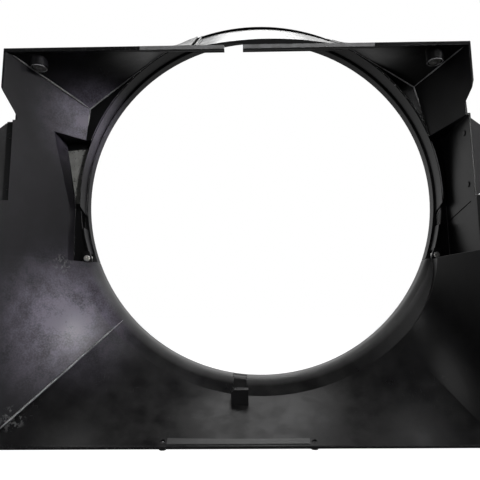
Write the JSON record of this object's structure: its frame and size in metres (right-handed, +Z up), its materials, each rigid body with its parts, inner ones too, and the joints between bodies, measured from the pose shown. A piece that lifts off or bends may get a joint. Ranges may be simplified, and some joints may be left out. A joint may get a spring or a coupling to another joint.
{
  "type": "radiator fan shroud",
  "caption": "Black moulded radiator fan shroud: a rectangular hopper narrowing to a large round fan opening, with a separate upper arch and side flaps.",
  "frame": {"origin": "on the fan axis, halfway along the cylindrical land at the rear of the round opening", "axes": "+Y along the fan axis from the radiator towards the engine, +Z up, +X to the right seen from the radiator"},
  "size_m": [0.764, 0.154, 0.682],
  "materials": {
    "moulding": "satin black moulded plastic",
    "seal_rubber": "soft black rubber",
    "zinc_steel": "dull zinc plate",
    "grey_foam": "grey foam with a worn skin",
    "trim_plastic": "greyed black plastic"
  },
  "bodies": {
    "root": {"shroud_body": "moulding", "ring_arch": "moulding", "arch_screws": "zinc_steel", "spring_nuts": "zinc_steel", "flap_left": "seal_rubber", "flap_right": "seal_rubber", "flap_rivets": "moulding", "window_pad": "grey_foam", "mount_eyelets": "zinc_steel", "rail_trim_left": "trim_plastic", "rail_trim_right": "trim_plastic", "lower_pads": "seal_rubber", "lower_strip": "trim_plastic", "clip_base": "moulding", "clip_latch": "moulding"}
  },
  "joints": []
}
